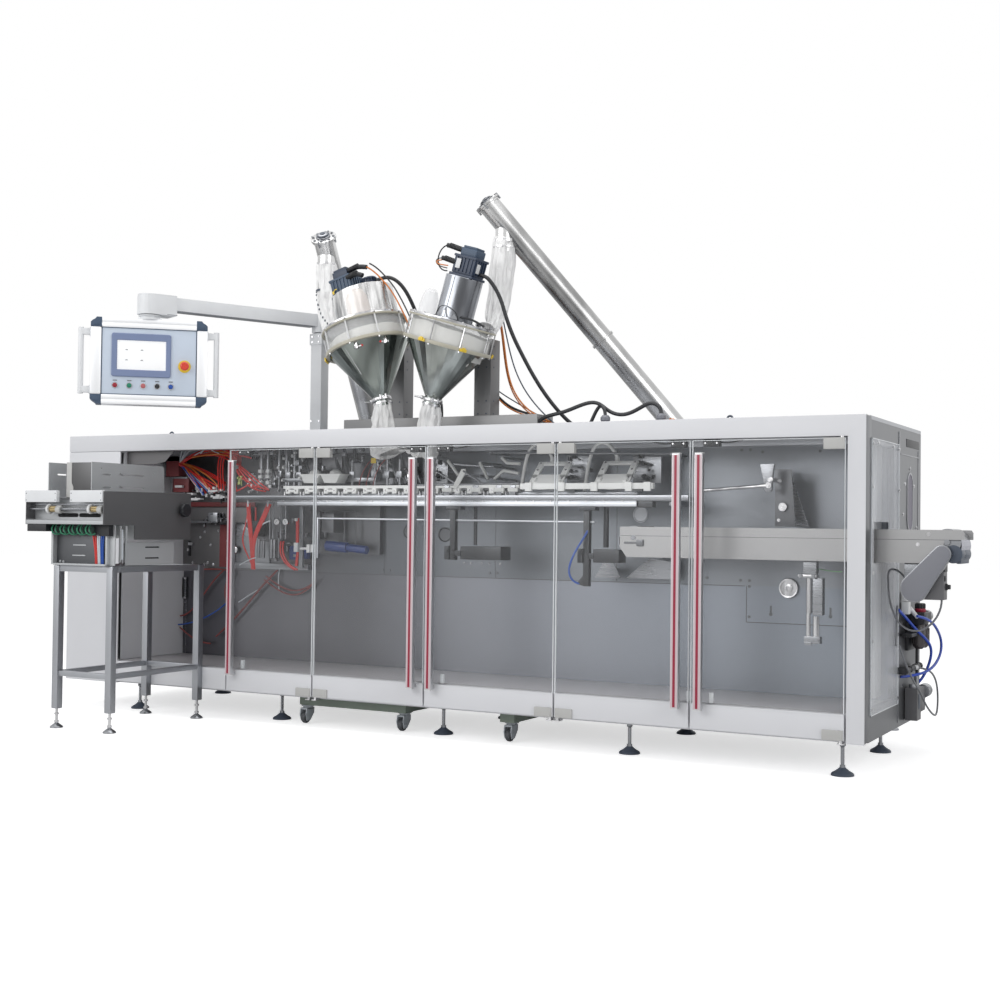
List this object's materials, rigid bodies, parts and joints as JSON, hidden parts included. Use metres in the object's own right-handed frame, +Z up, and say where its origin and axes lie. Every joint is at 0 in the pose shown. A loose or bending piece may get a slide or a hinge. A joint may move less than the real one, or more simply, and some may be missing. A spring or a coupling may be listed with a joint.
{
  "type": "horizontal powder packaging machine",
  "caption": "Horizontal pouch packing machine for powder: glass-doored body, tilted auger fillers fed by screw conveyors, pouch infeed, swing-arm panel and outfeed belt.",
  "frame": {"origin": "middle of the whole assembly's footprint, at floor level", "axes": "+X along the body from the pouch infeed to the outfeed conveyor, +Y from the glass doors to the back, +Z up"},
  "size_m": [4.4477, 2.9124, 2.5296],
  "materials": {
    "aluminium": "anodised profile",
    "belt_white": "white conveyor belt",
    "black_plastic": "matt black",
    "clear_acrylic": "clear sheet",
    "dark_steel": "darker machined steel",
    "fabric": "white dust sleeve",
    "olive_paint": "dark olive paint",
    "rubber": "dark tread",
    "stainless": "brushed stainless sheet",
    "white_paint": "smooth white powder coat"
  },
  "bodies": {
    "machine": {"base_frame": "white_paint", "caster_frame": "olive_paint", "caster_beam": "olive_paint", "left_housing": "white_paint", "rear_cabinet": "stainless", "roof_panel": "stainless", "front_frame": "white_paint", "inner_wall": "stainless", "end_wall": "stainless", "end_window": "clear_acrylic", "pouch_rail": "stainless", "gripper_row": "aluminium", "bag_opener": "white_paint", "lower_linkage": "dark_steel", "valve_station": "stainless", "discharge_arm": "stainless", "outfeed_frame": "stainless", "outfeed_belt": "belt_white", "outfeed_drive": "stainless", "outfeed_bracket": "stainless", "air_unit": "black_plastic", "infeed_stand": "stainless", "infeed_head": "stainless", "infeed_guides": "stainless", "panel_post": "white_paint", "filler_stand": "stainless", "filler_cone_left": "stainless", "filler_cone_right": "stainless", "filler_drum_left": "clear_acrylic", "filler_drum_right": "clear_acrylic", "filler_motor_left": "stainless", "filler_motor_right": "stainless", "feed_sleeve_left": "fabric", "feed_sleeve_right": "fabric", "outlet_sleeve_left": "fabric", "outlet_sleeve_right": "fabric", "screw_feeder_left": "stainless", "screw_feeder_right": "stainless", "filler_lead_left": "black_plastic", "filler_lead_right": "black_plastic"},
    "door_1": {"door_1_pane": "clear_acrylic", "door_1_trim": "aluminium"},
    "door_2": {"door_2_pane": "clear_acrylic", "door_2_trim": "aluminium"},
    "door_3": {"door_3_pane": "clear_acrylic", "door_3_trim": "aluminium"},
    "door_4": {"door_4_pane": "clear_acrylic", "door_4_trim": "aluminium"},
    "door_5": {"door_5_pane": "clear_acrylic", "door_5_trim": "aluminium"},
    "panel_arm": {"panel_arm": "white_paint"},
    "operator_panel": {"operator_panel": "aluminium"},
    "infeed_knob": {"infeed_knob": "black_plastic"},
    "caster_fork_1": {"caster_fork_1": "white_paint"},
    "caster_wheel_1": {"caster_wheel_1": "rubber"},
    "caster_fork_2": {"caster_fork_2": "white_paint"},
    "caster_wheel_2": {"caster_wheel_2": "rubber"},
    "caster_fork_3": {"caster_fork_3": "white_paint"},
    "caster_wheel_3": {"caster_wheel_3": "rubber"}
  },
  "joints": [
    {"name": "door_1_hinge", "type": "hinge", "parent": "machine", "child": "door_1", "pos_m": [-0.68985, -0.7452, 0.7], "axis": [0, 0, 1], "range_deg": [0, 85]},
    {"name": "door_2_hinge", "type": "hinge", "parent": "machine", "child": "door_2", "pos_m": [-0.65385, -0.7452, 0.7], "axis": [0, 0, 1], "range_deg": [-85, 0]},
    {"name": "door_3_hinge", "type": "hinge", "parent": "machine", "child": "door_3", "pos_m": [0.55515, -0.7452, 0.7], "axis": [0, 0, 1], "range_deg": [0, 85]},
    {"name": "door_4_hinge", "type": "hinge", "parent": "machine", "child": "door_4", "pos_m": [0.59115, -0.7452, 0.7], "axis": [0, 0, 1], "range_deg": [-85, 0]},
    {"name": "door_5_hinge", "type": "hinge", "parent": "machine", "child": "door_5", "pos_m": [1.78415, -0.7452, 0.7], "axis": [0, 0, 1], "range_deg": [0, 110]},
    {"name": "panel_arm_swivel", "type": "hinge", "parent": "machine", "child": "panel_arm", "pos_m": [-0.97485, -0.3032, 1.905], "axis": [0, 0, 1], "range_deg": [-90, 40]},
    {"name": "operator_panel_swivel", "type": "hinge", "parent": "panel_arm", "child": "operator_panel", "pos_m": [-1.35385, -1.1212, 1.9], "axis": [0, 0, 1], "range_deg": [-135, 135]},
    {"name": "infeed_knob_turn", "type": "hinge", "parent": "machine", "child": "infeed_knob", "pos_m": [-1.29385, -0.9402, 1.004], "axis": [1, 0, 0], "continuous": true},
    {"name": "caster_swivel_1", "type": "hinge", "parent": "machine", "child": "caster_fork_1", "pos_m": [-0.78985, -0.6122, 0.078], "axis": [0, 0, 1], "continuous": true},
    {"name": "caster_roll_1", "type": "hinge", "parent": "caster_fork_1", "child": "caster_wheel_1", "pos_m": [-0.78985, -0.6302, 0.0295], "axis": [1, 0, 0], "continuous": true},
    {"name": "caster_swivel_2", "type": "hinge", "parent": "machine", "child": "caster_fork_2", "pos_m": [-0.26685, -0.5832, 0.078], "axis": [0, 0, 1], "continuous": true},
    {"name": "caster_roll_2", "type": "hinge", "parent": "caster_fork_2", "child": "caster_wheel_2", "pos_m": [-0.26685, -0.6012, 0.0295], "axis": [1, 0, 0], "continuous": true},
    {"name": "caster_swivel_3", "type": "hinge", "parent": "machine", "child": "caster_fork_3", "pos_m": [0.29615, -0.5952, 0.078], "axis": [0, 0, 1], "continuous": true},
    {"name": "caster_roll_3", "type": "hinge", "parent": "caster_fork_3", "child": "caster_wheel_3", "pos_m": [0.29615, -0.6132, 0.0295], "axis": [1, 0, 0], "continuous": true}
  ]
}
